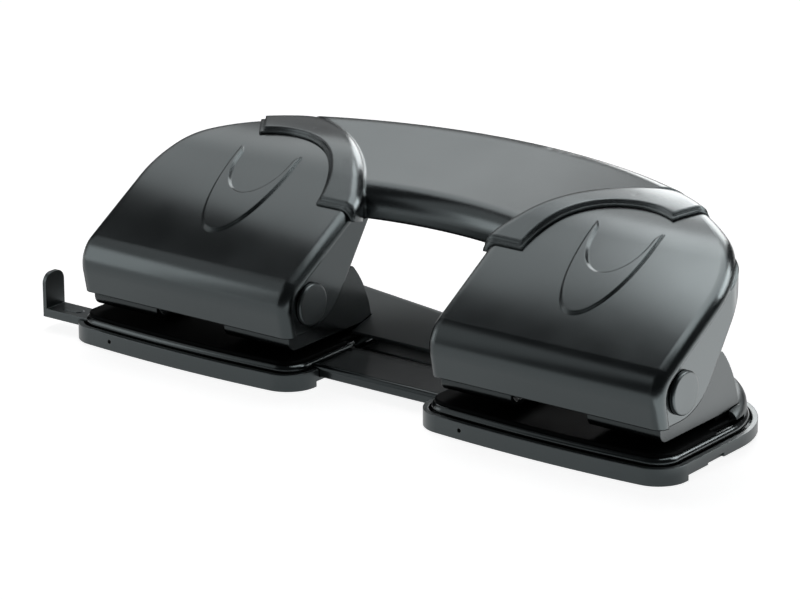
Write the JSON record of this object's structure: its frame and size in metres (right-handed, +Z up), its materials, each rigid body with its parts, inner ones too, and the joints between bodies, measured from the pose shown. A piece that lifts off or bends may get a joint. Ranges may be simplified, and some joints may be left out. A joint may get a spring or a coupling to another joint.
{
  "type": "hole punch",
  "caption": "Desk hole punch with linked punch units: a bowed grip presses hinged lever shells that drive sprung pins; sliding paper guide and pull-out chip trays.",
  "frame": {"origin": "middle of the whole outline, on the desk", "axes": "+X to the right along the sheet's edge, +Y from the front to the back, +Z up"},
  "size_m": [0.2842, 0.109, 0.0761],
  "materials": {
    "black_lacquer": "smooth gloss lacquer on pressed steel",
    "black_gloss_plastic": "smooth, slightly softer gloss than the lacquer",
    "dark_plastic": "fine satin grain",
    "steel": "bright zinc plate"
  },
  "bodies": {
    "base": {"left_base_plate": "black_lacquer", "right_base_plate": "black_lacquer", "left_die_plate": "black_lacquer", "right_die_plate": "black_lacquer", "connecting_bar": "black_lacquer", "rear_rail": "black_lacquer", "left_frame": "black_lacquer", "right_frame": "black_lacquer", "left_throat_spacer": "black_lacquer", "right_throat_spacer": "black_lacquer", "left_axle": "steel", "right_axle": "steel", "left_rivets": "steel", "right_rivets": "steel", "bar_rivets": "steel", "left_outer_axle_cap": "dark_plastic", "left_inner_axle_cap": "dark_plastic", "right_inner_axle_cap": "dark_plastic", "right_outer_axle_cap": "dark_plastic", "left_outer_spring": "steel", "left_inner_spring": "steel", "right_inner_spring": "steel", "right_outer_spring": "steel"},
    "lever": {"left_lever_shell": "black_lacquer", "right_lever_shell": "black_lacquer", "grip_handle": "black_gloss_plastic", "grip_screws": "steel", "left_press_bracket": "steel", "right_press_bracket": "steel"},
    "guide": {"paper_guide": "dark_plastic"},
    "left_tray": {"left_chip_tray": "dark_plastic"},
    "right_tray": {"right_chip_tray": "dark_plastic"},
    "left_outer_punch": {"left_outer_pin": "steel", "left_outer_clip": "steel"},
    "left_inner_punch": {"left_inner_pin": "steel", "left_inner_clip": "steel"},
    "right_inner_punch": {"right_inner_pin": "steel", "right_inner_clip": "steel"},
    "right_outer_punch": {"right_outer_pin": "steel", "right_outer_clip": "steel"}
  },
  "joints": [
    {"name": "lever_hinge", "type": "hinge", "parent": "base", "child": "lever", "pos_m": [0, -0.03525, 0.0292], "axis": [-1, 0, 0], "range_deg": [0, 28], "stiffness_Nm_per_rad": 2, "springref_deg": -20.05},
    {"name": "left_outer_slide", "type": "slide", "parent": "base", "child": "left_outer_punch", "axis": [0, 0, -1], "range_m": [0, 0.0076], "deforming": ["left_outer_spring"]},
    {"name": "left_inner_slide", "type": "slide", "parent": "base", "child": "left_inner_punch", "axis": [0, 0, -1], "range_m": [0, 0.0076], "deforming": ["left_inner_spring"]},
    {"name": "right_inner_slide", "type": "slide", "parent": "base", "child": "right_inner_punch", "axis": [0, 0, -1], "range_m": [0, 0.0076], "deforming": ["right_inner_spring"]},
    {"name": "right_outer_slide", "type": "slide", "parent": "base", "child": "right_outer_punch", "axis": [0, 0, -1], "range_m": [0, 0.0076], "deforming": ["right_outer_spring"]},
    {"name": "guide_slide", "type": "slide", "parent": "base", "child": "guide", "axis": [-1, 0, 0], "range_m": [-0.009, 0.017]},
    {"name": "left_tray_slide", "type": "slide", "parent": "base", "child": "left_tray", "axis": [-1, 0, 0], "range_m": [0, 0.034]},
    {"name": "right_tray_slide", "type": "slide", "parent": "base", "child": "right_tray", "axis": [1, 0, 0], "range_m": [0, 0.034]}
  ],
  "couplings": [
    {"joint": "left_outer_slide", "follows": "lever_hinge", "m_per_rad": 0.01553},
    {"joint": "left_inner_slide", "follows": "lever_hinge", "m_per_rad": 0.01553},
    {"joint": "right_inner_slide", "follows": "lever_hinge", "m_per_rad": 0.01553},
    {"joint": "right_outer_slide", "follows": "lever_hinge", "m_per_rad": 0.01553}
  ]
}
